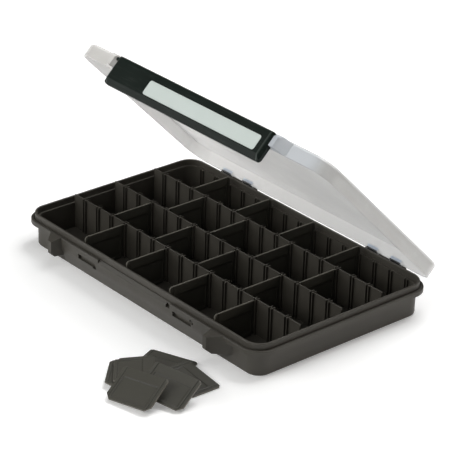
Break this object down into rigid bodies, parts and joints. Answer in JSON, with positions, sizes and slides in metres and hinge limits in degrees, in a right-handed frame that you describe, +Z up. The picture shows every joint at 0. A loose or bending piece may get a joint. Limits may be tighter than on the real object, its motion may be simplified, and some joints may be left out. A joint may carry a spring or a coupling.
{
  "type": "compartment storage box",
  "caption": "Flat moulded organiser tray with fixed partitions and lift-out dividers, a clear hinged lid, a front latch bar with a blank label, and a loose pile of spare dividers.",
  "frame": {"origin": "centre of the tray's underside, on the surface the box rests on", "axes": "+X along the long side to the right as seen from the front, +Y to the hinge at the back, +Z up"},
  "size_m": [0.28, 0.2759, 0.1599],
  "materials": {
    "tray": "fine moulded satin, dark olive grey",
    "lid": "frosted clear plastic, smooth outside and finely etched inside",
    "latch": "smooth satin, near black",
    "label": "plain pale label stock",
    "divider": "fine moulded satin, dark olive grey"
  },
  "bodies": {
    "tray": {"tray": "tray"},
    "lid": {"lid": "lid"},
    "latch": {"latch": "latch", "latch_label": "label"},
    "divider_row1_1": {"divider_row1_1": "divider"},
    "divider_row1_2": {"divider_row1_2": "divider"},
    "divider_row1_3": {"divider_row1_3": "divider"},
    "divider_row1_4": {"divider_row1_4": "divider"},
    "divider_row2_1": {"divider_row2_1": "divider"},
    "divider_row2_2": {"divider_row2_2": "divider"},
    "divider_row2_3": {"divider_row2_3": "divider"},
    "divider_row2_4": {"divider_row2_4": "divider"},
    "divider_row3_1": {"divider_row3_1": "divider"},
    "divider_row3_2": {"divider_row3_2": "divider"},
    "divider_row3_3": {"divider_row3_3": "divider"},
    "divider_row3_4": {"divider_row3_4": "divider"},
    "divider_row4_1": {"divider_row4_1": "divider"},
    "divider_row4_2": {"divider_row4_2": "divider"},
    "divider_row4_3": {"divider_row4_3": "divider"},
    "divider_row4_4": {"divider_row4_4": "divider"},
    "spare_divider_1": {"spare_divider_1": "divider"},
    "spare_divider_2": {"spare_divider_2": "divider"},
    "spare_divider_3": {"spare_divider_3": "divider"},
    "spare_divider_4": {"spare_divider_4": "divider"},
    "spare_divider_5": {"spare_divider_5": "divider"},
    "spare_divider_6": {"spare_divider_6": "divider"}
  },
  "joints": [
    {"name": "lid_hinge", "type": "hinge", "parent": "tray", "child": "lid", "pos_m": [0, 0.089, 0.0225], "axis": [-1, 0, 0], "range_deg": [-45.5, 134.5]},
    {"name": "latch_hinge", "type": "hinge", "parent": "lid", "child": "latch", "pos_m": [0, -0.03096, 0.1567], "axis": [-1, 0, 0], "range_deg": [-3, 110]},
    {"name": "divider_row1_1_lift", "type": "slide", "parent": "tray", "child": "divider_row1_1", "axis": [0, 0, 1], "range_m": [0, 0.032]},
    {"name": "divider_row1_2_lift", "type": "slide", "parent": "tray", "child": "divider_row1_2", "axis": [0, 0, 1], "range_m": [0, 0.032]},
    {"name": "divider_row1_3_lift", "type": "slide", "parent": "tray", "child": "divider_row1_3", "axis": [0, 0, 1], "range_m": [0, 0.032]},
    {"name": "divider_row1_4_lift", "type": "slide", "parent": "tray", "child": "divider_row1_4", "axis": [0, 0, 1], "range_m": [0, 0.032]},
    {"name": "divider_row2_1_lift", "type": "slide", "parent": "tray", "child": "divider_row2_1", "axis": [0, 0, 1], "range_m": [0, 0.032]},
    {"name": "divider_row2_2_lift", "type": "slide", "parent": "tray", "child": "divider_row2_2", "axis": [0, 0, 1], "range_m": [0, 0.032]},
    {"name": "divider_row2_3_lift", "type": "slide", "parent": "tray", "child": "divider_row2_3", "axis": [0, 0, 1], "range_m": [0, 0.032]},
    {"name": "divider_row2_4_lift", "type": "slide", "parent": "tray", "child": "divider_row2_4", "axis": [0, 0, 1], "range_m": [0, 0.032]},
    {"name": "divider_row3_1_lift", "type": "slide", "parent": "tray", "child": "divider_row3_1", "axis": [0, 0, 1], "range_m": [0, 0.032]},
    {"name": "divider_row3_2_lift", "type": "slide", "parent": "tray", "child": "divider_row3_2", "axis": [0, 0, 1], "range_m": [0, 0.032]},
    {"name": "divider_row3_3_lift", "type": "slide", "parent": "tray", "child": "divider_row3_3", "axis": [0, 0, 1], "range_m": [0, 0.032]},
    {"name": "divider_row3_4_lift", "type": "slide", "parent": "tray", "child": "divider_row3_4", "axis": [0, 0, 1], "range_m": [0, 0.032]},
    {"name": "divider_row4_1_lift", "type": "slide", "parent": "tray", "child": "divider_row4_1", "axis": [0, 0, 1], "range_m": [0, 0.017]},
    {"name": "divider_row4_2_lift", "type": "slide", "parent": "tray", "child": "divider_row4_2", "axis": [0, 0, 1], "range_m": [0, 0.017]},
    {"name": "divider_row4_3_lift", "type": "slide", "parent": "tray", "child": "divider_row4_3", "axis": [0, 0, 1], "range_m": [0, 0.017]},
    {"name": "divider_row4_4_lift", "type": "slide", "parent": "tray", "child": "divider_row4_4", "axis": [0, 0, 1], "range_m": [0, 0.017]},
    {"name": "spare_divider_1_lift", "type": "slide", "parent": "tray", "child": "spare_divider_1", "axis": [0, 0, 1], "range_m": [0, 0.03]},
    {"name": "spare_divider_2_lift", "type": "slide", "parent": "spare_divider_1", "child": "spare_divider_2", "axis": [0, 0, 1], "range_m": [0, 0.03]},
    {"name": "spare_divider_3_lift", "type": "slide", "parent": "spare_divider_2", "child": "spare_divider_3", "axis": [0, 0, 1], "range_m": [0, 0.03]},
    {"name": "spare_divider_4_lift", "type": "slide", "parent": "spare_divider_3", "child": "spare_divider_4", "axis": [0, 0, 1], "range_m": [0, 0.03]},
    {"name": "spare_divider_5_lift", "type": "slide", "parent": "spare_divider_4", "child": "spare_divider_5", "axis": [0, 0, 1], "range_m": [0, 0.03]},
    {"name": "spare_divider_6_lift", "type": "slide", "parent": "spare_divider_5", "child": "spare_divider_6", "axis": [0, 0, 1], "range_m": [0, 0.03]}
  ]
}
